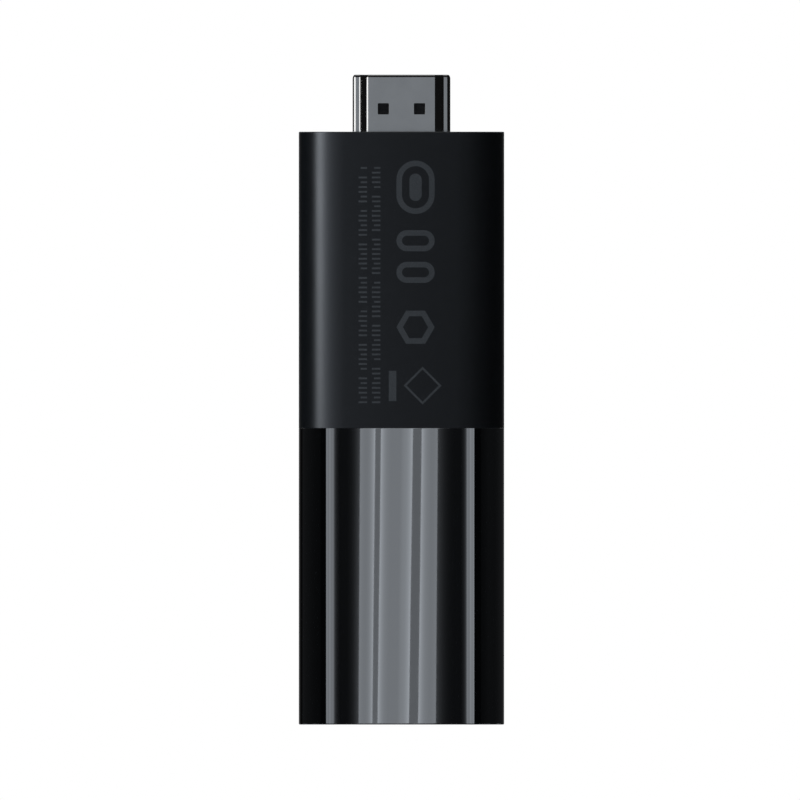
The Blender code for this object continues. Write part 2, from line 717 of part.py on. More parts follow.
def make_screws():
    first = screw_shape()
    shape = first.data
    bpy.data.objects.remove(first, do_unlink=True)
    head_seat = -4.65 * MM
    for i, (x, z) in enumerate(screw_places()):
        screw = bpy.data.objects.new(f"heat_sink_screw_{i + 1}", shape)
        screw.rotation_euler = AXIS_TURNS["Y"]
        screw.location = (x, head_seat, z)
        finish(screw, SCREW_STEEL)


def make_wireless_parts():
    """The wireless module near the tail and the antenna on the inside of the front wall."""
    centre = (-3.5 * MM, 15 * MM)
    on_front("wifi_module_board", centre, (12 * MM, 12 * MM), BOARD_GREEN, 0.6 * MM, 0)
    low = (centre[0] - 5.5 * MM, 1.3 * MM, centre[1] - 5.5 * MM)
    high = (centre[0] + 5.5 * MM, 2.6 * MM, centre[1] + 5.5 * MM)
    finish(box("wifi_module_cover", low, high, 0.15 * MM), NICKEL_STEEL, False)
    socket = (7.5 * MM, 15 * MM)
    on_front("antenna_socket", socket, (2.6 * MM, 2.6 * MM), BRASS, 0.6 * MM, 0)
    snap_plug = cylinder("antenna_cable_plug", socket, 1.1 * MM, 1.3 * MM, 2.2 * MM)
    finish(snap_plug, GOLD)
    strip = box("antenna_strip", (-7 * MM, 5.65 * MM, 8 * MM), (7 * MM, 5.85 * MM, 20 * MM))
    finish(strip, COPPER_FILM, False)
    make_antenna_cable()


def make_antenna_cable():
    """A thin coaxial cable from the snap-on plug round to the antenna strip."""
    path = [
        (7.5 * MM, 2.65 * MM, 15.0 * MM),
        (7.9 * MM, 3.1 * MM, 16.2 * MM),
        (8.4 * MM, 3.6 * MM, 17.6 * MM),
        (8.0 * MM, 4.3 * MM, 18.8 * MM),
        (6.8 * MM, 4.9 * MM, 18.9 * MM),
        (5.6 * MM, 5.2 * MM, 17.6 * MM),
    ]
    curve = bpy.data.curves.new("antenna_cable", "CURVE")
    curve.dimensions = "3D"
    curve.bevel_depth = 0.35 * MM
    curve.bevel_resolution = 2
    curve.use_fill_caps = True
    spline = curve.splines.new("POLY")
    spline.points.add(len(path) - 1)
    for point, spot in zip(spline.points, path):
        point.co = (*spot, 1)
    cable = bpy.data.objects.new("antenna_cable", curve)
    product.objects.link(cable)
    curve.materials.append(CABLE_BLACK)
    cable.parent = stick


clear_scene()
product = new_collection("Streaming media player")
cutters = new_collection("Cutters and joined shapes")
stick = bpy.data.objects.new("stick_origin", None)
stick.empty_display_size = 10 * MM
product.objects.link(stick)

MATTE_PLASTIC = make_material("Matte black plastic", (0.012, 0.013, 0.015), 0.45)
GLOSS_PLASTIC = make_material("Gloss black plastic", (0.008, 0.008, 0.009), 0.04)
NICKEL_STEEL = make_material("Nickel-plated steel", (0.42, 0.43, 0.45), 0.25, 1.0)
SCREW_STEEL = make_material("Zinc-plated screw steel", (0.55, 0.56, 0.58), 0.35, 1.0)
CAST_ALUMINIUM = make_material("Cast aluminium", (0.62, 0.63, 0.64), 0.45, 1.0)
GOLD = make_material("Gold plating", (0.95, 0.68, 0.28), 0.22, 1.0)
BRASS = make_material("Brass", (0.78, 0.58, 0.25), 0.3, 1.0)
COPPER_FILM = make_material("Copper on film", (0.72, 0.4, 0.24), 0.4, 1.0)
BLACK_NYLON = make_material("Black glass-filled nylon", (0.015, 0.015, 0.016), 0.55)
BOARD_GREEN = make_material("Green board laminate", (0.012, 0.09, 0.045), 0.4)
CHIP_BLACK = make_material("Black chip resin", (0.02, 0.02, 0.021), 0.6)
FERRITE_GREY = make_material("Grey ferrite", (0.06, 0.06, 0.065), 0.6)
TANTALUM_YELLOW = make_material("Yellow capacitor resin", (0.62, 0.38, 0.06), 0.5)
THERMAL_GREY = make_material("Grey thermal pad", (0.28, 0.3, 0.33), 0.8)
CABLE_BLACK = make_material("Black cable jacket", (0.02, 0.02, 0.02), 0.5)

make_gloss_housing()
make_matte_housing()
make_plug_shell()
make_plug_insulator()
make_plug_rear_block()
make_contact_row("upper", 1, UPPER_ROW_Y, upper_contact_path())
make_contact_row("lower", 2, LOWER_ROW_Y, lower_contact_path())
make_usb_shell()
make_usb_tongue()
make_usb_contacts()
make_main_board()
make_front_chips()
make_back_chips()
make_shield()
make_front_heat_sink()
make_back_heat_sink()
make_screws()
make_wireless_parts()
bpy.context.view_layer.update()
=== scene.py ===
"""Looks of the streaming media player: a black stick, matte at the plug end and gloss at the tail.

Metres, in the CAD model's own frame: +Z runs up to the plug's tip, and the printed back of the
stick and the plug's narrow face are towards -Y. Places and sizes come from the CAD nodes' boxes.
"""

import json
from math import atan2, cos, pi, radians, sin, sqrt, tan

import bmesh
import bpy
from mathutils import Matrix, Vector


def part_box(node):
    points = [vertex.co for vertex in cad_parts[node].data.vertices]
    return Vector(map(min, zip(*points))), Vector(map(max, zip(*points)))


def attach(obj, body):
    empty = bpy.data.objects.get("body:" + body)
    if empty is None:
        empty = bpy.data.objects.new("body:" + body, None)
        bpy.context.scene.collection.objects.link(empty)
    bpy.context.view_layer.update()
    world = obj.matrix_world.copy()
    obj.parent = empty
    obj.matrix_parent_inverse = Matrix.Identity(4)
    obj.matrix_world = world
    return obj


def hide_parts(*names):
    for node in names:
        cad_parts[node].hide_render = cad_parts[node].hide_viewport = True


MM = 0.001

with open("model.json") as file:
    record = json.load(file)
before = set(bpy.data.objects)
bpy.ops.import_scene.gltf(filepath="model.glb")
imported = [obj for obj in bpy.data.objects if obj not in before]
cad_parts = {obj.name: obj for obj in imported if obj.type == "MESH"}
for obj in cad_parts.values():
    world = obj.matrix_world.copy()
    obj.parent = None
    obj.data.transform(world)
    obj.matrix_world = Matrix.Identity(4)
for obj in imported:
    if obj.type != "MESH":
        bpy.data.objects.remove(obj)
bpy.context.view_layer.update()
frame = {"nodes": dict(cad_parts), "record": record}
matte_low, matte_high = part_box("matte_housing")
plug_low, plug_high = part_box("plug_shell")
usb_low, usb_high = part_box("usb_shell")

# Body section, as the CAD model has it
BODY_HALF_WIDTH = matte_high.x
BODY_HALF_THICKNESS = matte_high.y
BODY_TOP = matte_high.z
SEAM = BODY_TOP / 2
CROWN_RADIUS = 90 * MM
WALL = 1.3 * MM
LIP_INSET = 0.7 * MM
SOCKET_INSET = 0.62 * MM
LIP_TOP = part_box("gloss_housing")[1].z
SOCKET_TOP = LIP_TOP + 0.16 * MM

# The micro-USB socket's opening in the tail
USB_OPENING = (4.15 * MM, 1.65 * MM, 0.7 * MM)

# Fine edges
END_RIM_RADIUS = 0.16 * MM
SEAM_RIM_RADIUS = 0.02 * MM
SEAM_HALF_GAP = 0.001 * MM
EDGE_SUPPORT = 0.04 * MM

# Plug
SHELL_SHEET = 0.3 * MM
SHELL_ROOT = 81.9 * MM
SHOULDER_Y = -0.925 * MM
LATCH_HOLE = 1.58 * MM
LATCH_HOLE_CORNER = 0.12 * MM
LATCH_HOLE_X = 2.57 * MM
LATCH_HOLE_Z = 87.55 * MM
PLUG_OPENING_GAP = 0.08 * MM
LAST_PIN = 19

# Vertices closer than this are one, and edges that turn by more than this stay sharp
WELD = 1e-7
SMOOTH_ANGLE = radians(32)


# ---------------------------------------------------------------- outlines


def arc(centre, radius, start, end, steps):
    turns = [start + (end - start) * i / steps for i in range(steps + 1)]
    return [(centre[0] + radius * cos(t), centre[1] + radius * sin(t)) for t in turns]


def half_turn_at(before, corner, after):
    """Half the change of direction at a corner, positive to the left."""
    way_in = corner - before
    way_out = after - corner
    return atan2(way_in.x * way_out.y - way_in.y * way_out.x, way_in.dot(way_out)) / 2


def rounded_outline(corners, inset, steps):
    """An outline moved in from (x, y, radius) corners, anticlockwise, with an arc at each corner."""
    smallest = 0.02 * MM
    points = []
    spots = [Vector(corner[:2]) for corner in corners]
    radii = [corner[2] for corner in corners]
    for i, radius in enumerate(radii):
        corner, before, after = spots[i], spots[i - 1], spots[(i + 1) % len(spots)]
        half_turn = half_turn_at(before, corner, after)
        way_in = (corner - before).normalized()
        left = Vector((-way_in.y, way_in.x))
        moved = corner + (left - way_in * tan(half_turn)) * inset
        bend = 1 if half_turn > 0 else -1
        radius = max(radius - inset * bend, smallest)
        centre = moved - way_in * radius * abs(tan(half_turn)) + left * bend * radius
        first = atan2(-left.y * bend, -left.x * bend)
        points += arc(centre, radius, first, first + 2 * half_turn, steps)
    return points


def mirrored_corners(right):
    """All corners of an outline from those of its right half, from the bottom up."""
    return right + [(-x, y, radius) for x, y, radius in reversed(right)]


def box_corners(x, y, half_width, half_height, radius):
    """Corners of a rounded rectangle about (x, y), anticlockwise from the lower left."""
    return [
        (x - half_width, y - half_height, radius),
        (x + half_width, y - half_height, radius),
        (x + half_width, y + half_height, radius),
        (x - half_width, y + half_height, radius),
    ]


def body_section(inset, side_steps=64, crown_steps=48):
    """Two crowned faces joined by side arcs that run into them without a corner."""
    reach = CROWN_RADIUS - BODY_HALF_THICKNESS
    side_reach = CROWN_RADIUS - BODY_HALF_WIDTH
    side_x = (reach**2 - side_reach**2) / (2 * side_reach)
    turn = atan2(reach, side_x)
    side_radius = BODY_HALF_WIDTH - side_x - inset
    right = arc((side_x, 0), side_radius, -turn, turn, side_steps)
    top = arc((0, -reach), CROWN_RADIUS - inset, turn, pi - turn, crown_steps)[1:-1]
    return right + top + [(-x, -y) for x, y in right] + [(-x, -y) for x, y in top]


def plug_section(inset, steps=12):
    """The HDMI plug's section: wide towards +Y, stepped in towards -Y."""
    face_x, shoulder_x = 4.9 * MM, 5.9 * MM
    right = [
        (face_x, plug_low.y, 0.42 * MM),
        (shoulder_x, SHOULDER_Y, 0.3 * MM),
        (plug_high.x, SHOULDER_Y, 0.5 * MM),
        (plug_high.x, plug_high.y, 0.7 * MM),
    ]
    return rounded_outline(mirrored_corners(right), inset, steps)


def usb_section(inset, steps=8):
    """The micro-USB shell's section: two corners cut off on its narrow side."""
    half_width, half_height = 3.75 * MM, 1.25 * MM
    narrow_x, cut_y = 2.7 * MM, -0.35 * MM
    right = [
        (narrow_x, -half_height, 0.4 * MM),
        (half_width, cut_y, 0.4 * MM),
        (half_width, half_height, 0.45 * MM),
    ]
    return rounded_outline(mirrored_corners(right), inset, steps)


def usb_opening_section(inset, steps=8):
    """The rounded opening in the tail that the socket sits in."""
    half_width, half_height, radius = USB_OPENING
    right = [(half_width, -half_height, radius), (half_width, half_height, radius)]
    return rounded_outline(mirrored_corners(right), inset, steps)


# ---------------------------------------------------------------- mesh tools


def raise_outline(outline, z):
    return [(x, y, z) for x, y in outline]


def loft(bm, rings, closed=False):
    """Quads between rings of points. A closed loft also joins the last ring to the first."""
    rows = [[bm.verts.new(point) for point in ring] for ring in rings]
    pairs = list(zip(rows, rows[1:]))
    if closed:
        pairs.append((rows[-1], rows[0]))
    for low, high in pairs:
        for i in range(len(low)):
            j = (i + 1) % len(low)
            bm.faces.new((low[i], low[j], high[j], high[i]))
    return rows


def fill_between(bm, outer, inner):
    """A flat face between two rings of vertices, one inside the other."""
    edges = []
    for ring in (outer, inner):
        for i, vert in enumerate(ring):
            edges.append(bm.edges.get((vert, ring[(i + 1) % len(ring)])))
    bmesh.ops.triangle_fill(bm, use_beauty=True, edges=edges)


def mesh_object(name, bm):
    """A new object from a bmesh: welded, with its faces outward and only its hard edges sharp."""
    bmesh.ops.remove_doubles(bm, verts=bm.verts, dist=WELD)
    bmesh.ops.recalc_face_normals(bm, faces=bm.faces)
    mesh = bpy.data.meshes.new(name)
    bm.to_mesh(mesh)
    bm.free()
    mesh.shade_smooth()
    mesh.set_sharp_from_angle(angle=SMOOTH_ANGLE)
    piece = bpy.data.objects.new(name, mesh)
    bpy.context.scene.collection.objects.link(piece)
    return piece


def rim_curve(radius, level, outward, steps=6):
    """(inset, z) points round an end rim, from the wall to the flat end. outward is +1 at the top."""
    points = [(0, level - outward * (radius + EDGE_SUPPORT))]
    for i in range(steps + 1):
        turn = pi / 2 * i / steps
        points.append((radius * (1 - cos(turn)), level - outward * radius * (1 - sin(turn))))
    points.append((radius + EDGE_SUPPORT, level))
    return points


def cup(name, profile, section, opening):
    """A cup-shaped cover: its wall follows the profile, and its end wall has an opening.

    The profile is (inset, z) points from the inside corner, round the mouth, to the outside
    corner. The opening is (inset, z) points of its own section, from the outside to the inside.
    """
    bm = bmesh.new()
    wall = loft(bm, [raise_outline(body_section(inset), z) for inset, z in profile])
    way = loft(bm, [raise_outline(section(inset), z) for inset, z in opening])
    fill_between(bm, wall[-1], way[0])
    fill_between(bm, wall[0], way[-1])
    return mesh_object(name, bm)


def apply_cut(piece, cutters):
    """Cut the cutters from the piece for good, and remove them."""
    for cutter in cutters:
        modifier = piece.modifiers.new("Cut", "BOOLEAN")
        modifier.operation = "DIFFERENCE"
        modifier.object = cutter
        modifier.solver = "EXACT"
    bpy.context.view_layer.update()
    seen = piece.evaluated_get(bpy.context.evaluated_depsgraph_get())
    old, new = piece.data, bpy.data.meshes.new_from_object(seen)
    piece.modifiers.clear()
    piece.data = new
    new.name = piece.name
    bpy.data.meshes.remove(old)
    for cutter in cutters:
        bpy.data.objects.remove(cutter)
    new.shade_smooth()
    new.set_sharp_from_angle(angle=SMOOTH_ANGLE)


def cutter_through(name, outline, low, high):
    """A closed prism through the thickness: its outline is (x, z) and it runs along Y."""
    bm = bmesh.new()
    front = [bm.verts.new((x, low, z)) for x, z in outline]
    back = [bm.verts.new((x, high, z)) for x, z in outline]
    bm.faces.new(front)
    bm.faces.new(back[::-1])
    for i in range(len(outline)):
        j = (i + 1) % len(outline)
        bm.faces.new((front[i], front[j], back[j], back[i]))
    return mesh_object(name, bm)


def break_edges(piece, width, angle):
    """A small bevel on every edge that turns by more than the angle."""
    modifier = piece.modifiers.new("Broken edges", "BEVEL")
    modifier.width = width
    modifier.segments = 2
    modifier.limit_method = "ANGLE"
    modifier.angle_limit = angle


def even_shading(piece):
    """Flat faces stay flat in the shading, and only the rounded edges turn the light."""
    modifier = piece.modifiers.new("Even shading", "WEIGHTED_NORMAL")
    modifier.keep_sharp = True


# ---------------------------------------------------------------- covers


def make_matte_cover():
    """The plug half: its socket goes over the other cover's lip, and the plug comes out of its end."""
    rim = SEAM + SEAM_HALF_GAP
    profile = [
        (WALL, BODY_TOP - WALL),
        (WALL, SOCKET_TOP),
        (SOCKET_INSET, SOCKET_TOP),
        (SOCKET_INSET, rim),
    ]
    profile += rim_curve(SEAM_RIM_RADIUS, rim, -1)[::-1]
    profile += rim_curve(END_RIM_RADIUS, BODY_TOP, 1)
    lead = 0.1 * MM
    opening = [
        (-PLUG_OPENING_GAP - lead, BODY_TOP),
        (-PLUG_OPENING_GAP, BODY_TOP - lead),
        (-PLUG_OPENING_GAP, BODY_TOP - WALL),
    ]
    cover = cup("matte_cover", profile, plug_section, opening)
    even_shading(cover)
    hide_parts("matte_housing")
    return cover


def make_gloss_cover():
    """The tail half: its lip goes into the other cover, and the power socket shows in its end."""
    rim = SEAM - SEAM_HALF_GAP
    profile = [
        (WALL, WALL),
        (WALL, LIP_TOP),
        (LIP_INSET, LIP_TOP),
        (LIP_INSET, rim),
    ]
    profile += rim_curve(SEAM_RIM_RADIUS, rim, 1)[::-1]
    profile += rim_curve(END_RIM_RADIUS, 0, -1)
    lead = 0.12 * MM
    opening = [(-lead, 0), (0, lead), (0, WALL)]
    cover = cup("gloss_cover", profile, usb_opening_section, opening)
    even_shading(cover)
    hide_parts("gloss_housing")
    return cover


# ---------------------------------------------------------------- plug


def plug_shell_profile():
    """(inset, z) points round the sheet, from the root up the inside, over the mouth and down."""
    tip = plug_high.z
    draw_height, draw_depth, inner_depth = 0.6 * MM, 0.35 * MM, 0.2 * MM
    steps = 6
    inside, outside = [], []
    for i in range(steps + 1):
        turn = pi / 2 * i / steps
        z = tip - draw_height * (1 - sin(turn))
        inside.append((SHELL_SHEET + inner_depth * (1 - cos(turn)), z))
        outside.append((draw_depth * (1 - cos(turn)), z))
    support = tip - draw_height - EDGE_SUPPORT
    profile = [(SHELL_SHEET, SHELL_ROOT), (SHELL_SHEET, support)]
    profile += inside
    profile += outside[::-1]
    profile += [(0, support), (0, SHELL_ROOT)]
    return profile


def latch_hole_cutter(side):
    """A square prism through both wide faces."""
    half = LATCH_HOLE / 2
    corners = box_corners(side * LATCH_HOLE_X, LATCH_HOLE_Z, half, half, LATCH_HOLE_CORNER)
    outline = rounded_outline(corners, 0, 4)
    return cutter_through("latch_hole", outline, 2 * plug_low.y, 2 * plug_high.y)


def seam_cutter():
    """A thin slot down the middle of the wide face, where the folded sheet meets."""
    half_gap, spare = 0.025 * MM, 1 * MM
    low, high = SHELL_ROOT - spare, plug_high.z + spare
    outline = [(-half_gap, low), (half_gap, low), (half_gap, high), (-half_gap, high)]
    return cutter_through("seam_gap", outline, 0.5 * plug_high.y, 2 * plug_high.y)


def make_plug_sleeve():
    """The folded steel shell: its mouth is drawn in, and two latch holes go through each wide face."""
    bm = bmesh.new()
    rings = [raise_outline(plug_section(inset), z) for inset, z in plug_shell_profile()]
    loft(bm, rings, closed=True)
    sleeve = mesh_object("plug_sleeve", bm)
    apply_cut(sleeve, [latch_hole_cutter(-1), latch_hole_cutter(1), seam_cutter()])
    break_edges(sleeve, 0.03 * MM, radians(60))
    even_shading(sleeve)
    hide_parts("plug_shell")
    return sleeve


def bent_path(spots, bend_radius, steps=5):
    """A path through the spots with an arc at each inside corner."""
    path = [Vector(spots[0])]
    for before, spot, after in zip(spots, spots[1:], spots[2:]):
        corner = Vector(spot)
        half_turn = half_turn_at(Vector(before), corner, Vector(after))
        way_in = (corner - Vector(before)).normalized()
        left = Vector((-way_in.y, way_in.x))
        bend = 1 if half_turn > 0 else -1
        start = corner - way_in * bend_radius * abs(tan(half_turn))
        centre = start + left * bend * bend_radius
        first = atan2(-left.y * bend, -left.x * bend)
        path += [Vector(p) for p in arc(centre, bend_radius, first, first + 2 * half_turn, steps)]
    return path + [Vector(spots[-1])]


def strip_mesh(name, path, half_thickness, half_width, chamfer):
    """A flat strip along a path in (y, z), its width along X, with its long edges broken."""
    bm = bmesh.new()
    rings = []
    for i, spot in enumerate(path):
        way = (path[min(i + 1, len(path) - 1)] - path[max(i - 1, 0)]).normalized()
        side = Vector((-way.y, way.x))
        ring = []
        corners = [(1, 1), (-1, 1), (-1, -1), (1, -1)]
        for across, over in corners:
            wide = (across * half_width, over * (half_thickness - chamfer))
            flat = (across * (half_width - chamfer), over * half_thickness)
            pair = [wide, flat] if across == over else [flat, wide]
            for x, lift in pair:
                place = spot + side * lift
                ring.append((x, place.x, place.y))
        rings.append(ring)
    rows = loft(bm, rings)
    bm.faces.new(rows[0][::-1])
    bm.faces.new(rows[-1])
    return mesh_object(name, bm)


def contact_spots(row_y, bump_reach):
    """Side view of a plug contact as (y, z): tail, step down to the row, sprung arm and lifted tip."""
    outward = 1 if row_y > 0 else -1
    tail_y = outward * 0.72 * MM
    bump_y = row_y - outward * bump_reach
    tip_y = row_y - outward * (bump_reach - 0.21 * MM)
    tail, step_start, step_end, arm, bump, tip = (z * MM for z in (79.6, 81.2, 82.0, 85.0, 90.1, 91.3))
    return [
        (tail_y, tail),
        (tail_y, step_start),
        (row_y, step_end),
        (row_y, arm),
        (bump_y, bump),
        (tip_y, tip),
    ]


def make_contact_row(first_pin, body, row_y):
    """One row of sprung gold contacts, each standing for the CAD contact in its place."""
    bump_reach, bend_radius = 0.37 * MM, 0.3 * MM
    half_thickness, half_width, chamfer = 0.09 * MM, 0.225 * MM, 0.02 * MM
    path = bent_path(contact_spots(row_y, bump_reach), bend_radius)
    master = strip_mesh(f"{body}_strip", path, half_thickness, half_width, chamfer)
    shape = master.data
    bpy.data.objects.remove(master)
    strips = []
    for pin in range(first_pin, LAST_PIN + 1, 2):
        node = f"plug_contact_{pin:02d}"
        low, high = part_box(node)
        strip = bpy.data.objects.new(f"contact_strip_{pin:02d}", shape)
        bpy.context.scene.collection.objects.link(strip)
        strip.location.x = (low.x + high.x) / 2
        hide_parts(node)
        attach(strip, body)
        strips.append(strip)
    return strips


# ---------------------------------------------------------------- micro-USB socket


def make_usb_sleeve():
    """The socket's steel shell, with its flared mouth just inside the tail opening."""
    mouth, rear = usb_low.z, usb_high.z
    flare = 0.22 * MM
    profile = [
        (SHELL_SHEET, rear),
        (SHELL_SHEET, mouth + 0.6 * MM),
        (0.18 * MM, mouth + 0.2 * MM),
        (0.0, mouth + 0.03 * MM),
        (-0.08 * MM, mouth),
        (-flare + 0.05 * MM, mouth),
        (-flare, mouth + 0.05 * MM),
        (-flare, mouth + 0.25 * MM),
        (0, mouth + 0.6 * MM),
        (0, rear),
    ]
    bm = bmesh.new()
    loft(bm, [raise_outline(usb_section(inset), z) for inset, z in profile], closed=True)
    sleeve = mesh_object("usb_sleeve", bm)
    even_shading(sleeve)
    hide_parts("usb_shell")
    return sleeve


# ---------------------------------------------------------------- printed marks on the back


def back_surface_y(x):
    """The crowned back face at a distance x from the middle."""
    return -(sqrt(CROWN_RADIUS**2 - x**2) - (CROWN_RADIUS - BODY_HALF_THICKNESS))


def filled_outlines(outlines, thickness):
    """A flat sheet mesh from (x, z) outlines. Outlines after the first are holes."""
    curve = bpy.data.curves.new("ink", "CURVE")
    curve.dimensions = "2D"
    curve.fill_mode = "BOTH"
    curve.extrude = thickness / 2
    for outline in outlines:
        spline = curve.splines.new("POLY")
        spline.points.add(len(outline) - 1)
        for point, (x, z) in zip(spline.points, outline):
            point.co = (x, z, 0, 1)
        spline.use_cyclic_u = True
    guide = bpy.data.objects.new("ink", curve)
    bpy.context.scene.collection.objects.link(guide)
    bpy.context.view_layer.update()
    seen = guide.evaluated_get(bpy.context.evaluated_depsgraph_get())
    mesh = bpy.data.meshes.new_from_object(seen)
    bpy.data.objects.remove(guide)
    bpy.data.curves.remove(curve)
    return mesh


def ink_shape(bm, outlines, thickness=0.006 * MM):
    """A thin film on the back face, cut into narrow slices so that it bends with the crown."""
    mesh = filled_outlines(outlines, thickness)
    film = bmesh.new()
    film.from_mesh(mesh)
    bmesh.ops.remove_doubles(film, verts=film.verts, dist=WELD)
    low = min(x for x, z in outlines[0])
    high = max(x for x, z in outlines[0])
    slice_width = 0.5 * MM
    for i in range(1, int((high - low) / slice_width) + 1):
        everything = film.verts[:] + film.edges[:] + film.faces[:]
        place = (low + i * slice_width, 0, 0)
        bmesh.ops.bisect_plane(film, geom=everything, plane_co=place, plane_no=(1, 0, 0), dist=WELD)
    film.to_mesh(mesh)
    film.free()
    for vertex in mesh.vertices:
        x, z, lift = vertex.co
        vertex.co = (x, back_surface_y(x) - thickness / 2 - lift, z)
    bm.from_mesh(mesh)
    bpy.data.meshes.remove(mesh)


def bar(low_x, low_z, high_x, high_z):
    """A plain bar from its ends in millimetres."""
    corners = ((low_x, low_z), (high_x, low_z), (high_x, high_z), (low_x, high_z))
    return [(x * MM, z * MM) for x, z in corners]


def stadium(x, z, half_width, half_height, inset):
    """A lying or standing bar with round ends, from its place and size in millimetres."""
    nearly_all = 0.999
    radius = min(half_width, half_height) * nearly_all
    corners = box_corners(x, z, half_width, half_height, radius)
    scaled = [tuple(value * MM for value in corner) for corner in corners]
    return rounded_outline(scaled, inset * MM, 10)


def regular_polygon(x, z, radius, sides):
    """A polygon from its place and size in millimetres, with a corner towards +X."""
    turns = [2 * pi * i / sides for i in range(sides)]
    return [((x + radius * cos(t)) * MM, (z + radius * sin(t)) * MM) for t in turns]


def polygon_ring(x, z, radius, sides, line):
    """The outlines of a polygon drawn with a line of the given width."""
    hole_radius = radius - line / cos(pi / sides)
    return [regular_polygon(x, z, radius, sides), regular_polygon(x, z, hole_radius, sides)]


def make_back_print():
    """Plain marks of no meaning, in millimetres: a column of shapes and two rows of small strokes."""
    bm = bmesh.new()
    bold, fine = 0.8, 0.3
    column_x, half_width = 2.0, 2.72
    tall = (column_x, 76.4, half_width, 3.8)
    core_inset = 1.85
    ink_shape(bm, [stadium(*tall, 0), stadium(*tall, bold)])
    ink_shape(bm, [stadium(*tall, core_inset)])
    for z in (68.8, 64.3):
        pill = (column_x, z, half_width, 1.5)
        ink_shape(bm, [stadium(*pill, 0), stadium(*pill, bold)])
    ink_shape(bm, polygon_ring(column_x, 56.5, half_width, 6, bold))
    ink_shape(bm, [bar(-1.8, 46.0, -0.73, 50.3)])
    ink_shape(bm, polygon_ring(3.0, 48.2, 2.7, 4, fine))
    row_ends = (45.7, 80.3)
    make_stroke_row(bm, -6.1, -4.9, row_ends, 3)
    make_stroke_row(bm, -4.2, -3.0, row_ends, 4)
    return mesh_object("back_print", bm)


def make_stroke_row(bm, low_x, high_x, ends, rhythm):
    """Strokes in groups of twice the rhythm, some of them short, as dense as a line of print."""
    pitch, stroke, cut = 0.68, 0.26, 0.3
    group = 2 * rhythm + 1
    count = int((ends[1] - ends[0]) / pitch)
    for i in range(count):
        if i % group == group - 1:
            continue
        z = ends[0] + i * pitch
        start = low_x + cut if i % rhythm == 1 else low_x
        ink_shape(bm, [bar(start, z, high_x, z + stroke)])


# ---------------------------------------------------------------- material tools


def new_material(name):
    """A new material with its node tree and its main shader."""
    material = bpy.data.materials.new(name)
    material.use_nodes = True
    tree = material.node_tree
    return material, tree, tree.nodes["Principled BSDF"]


def add(tree, kind, inputs=None, **settings):
    """A new node. inputs gives values or links by socket name or number."""
    made = tree.nodes.new(kind)
    for key, value in settings.items():
        setattr(made, key, value)
    for key, value in (inputs or {}).items():
        if isinstance(value, bpy.types.NodeSocket):
            tree.links.new(value, made.inputs[key])
        else:
            made.inputs[key].default_value = value
    return made


def compare(tree, operation, value, limit):
    """1 where the value is over or under the limit, and 0 elsewhere."""
    return add(tree, "ShaderNodeMath", {0: value, 1: limit}, operation=operation).outputs[0]


def object_place(tree, stretch=(1, 1, 1)):
    """The place on the piece, scaled by the stretch."""
    where = add(tree, "ShaderNodeTexCoord")
    mapping = add(tree, "ShaderNodeMapping", {"Vector": where.outputs["Object"], "Scale": stretch})
    return mapping.outputs["Vector"]


def grain(tree, size, detail=3.0, stretch=(1, 1, 1)):
    """Noise with marks of about this size, in metres. A stretch under 1 draws it out on that axis."""
    place = object_place(tree, stretch)
    noise = add(tree, "ShaderNodeTexNoise", {"Vector": place, "Scale": 1 / size, "Detail": detail})
    return noise.outputs["Fac"]


def between(tree, factor, low, high, start=0.3, end=0.7):
    """A value that goes from low to high as the factor goes from start to end."""
    inputs = {"Value": factor, "From Min": start, "From Max": end, "To Min": low, "To Max": high}
    return add(tree, "ShaderNodeMapRange", inputs).outputs["Result"]


def colours_between(tree, factor, first, second, start=0.3, end=0.7):
    """A colour that goes from the first to the second as the factor goes from start to end."""
    ramp = add(tree, "ShaderNodeValToRGB", {"Fac": factor})
    ramp.color_ramp.elements[0].position = start
    ramp.color_ramp.elements[0].color = (*first, 1)
    ramp.color_ramp.elements[1].position = end
    ramp.color_ramp.elements[1].color = (*second, 1)
    return ramp.outputs["Color"]


def bump(tree, shader, height, distance, strength=1.0):
    """Fine relief of the given depth, from a height that runs from 0 to 1."""
    inputs = {"Height": height, "Distance": distance, "Strength": strength}
    made = add(tree, "ShaderNodeBump", inputs)
    tree.links.new(made.outputs["Normal"], shader.inputs["Normal"])


def plain_finish(
    name, colours, roughness, metallic=0.0, size=0.4 * MM, relief=0.0, stretch=(1, 1, 1)
):
    """A surface whose colour and roughness wander between two values with its grain."""
    material, tree, shader = new_material(name)
    marks = grain(tree, size, stretch=stretch)
    tree.links.new(colours_between(tree, marks, *colours), shader.inputs["Base Color"])
    tree.links.new(between(tree, marks, *roughness), shader.inputs["Roughness"])
    shader.inputs["Metallic"].default_value = metallic
    if relief:
        bump(tree, shader, marks, relief)
    return material


# ---------------------------------------------------------------- materials


def matte_plastic():
    """Black plastic with a fine spark-eroded texture."""
    material, tree, shader = new_material("Matte black plastic")
    fine = grain(tree, 0.16 * MM, detail=2.0)
    broad = grain(tree, 6 * MM, detail=2.0)
    colour = colours_between(tree, fine, (0.0024, 0.0032, 0.0040), (0.0031, 0.0040, 0.0050))
    tree.links.new(colour, shader.inputs["Base Color"])
    tree.links.new(between(tree, broad, 0.275, 0.295), shader.inputs["Roughness"])
    bump(tree, shader, fine, 0.006 * MM, 0.6)
    return material


def gloss_plastic():
    """Piano-black plastic: a mirror with the faint unevenness of a moulding."""
    material, tree, shader = new_material("Gloss black plastic")
    broad = grain(tree, 9 * MM, detail=1.0)
    haze = grain(tree, 1.2 * MM, detail=4.0)
    shader.inputs["Base Color"].default_value = (0.0007, 0.0008, 0.0009, 1)
    tree.links.new(between(tree, haze, 0.018, 0.030), shader.inputs["Roughness"])
    bump(tree, shader, broad, 0.004 * MM, 0.5)
    return material


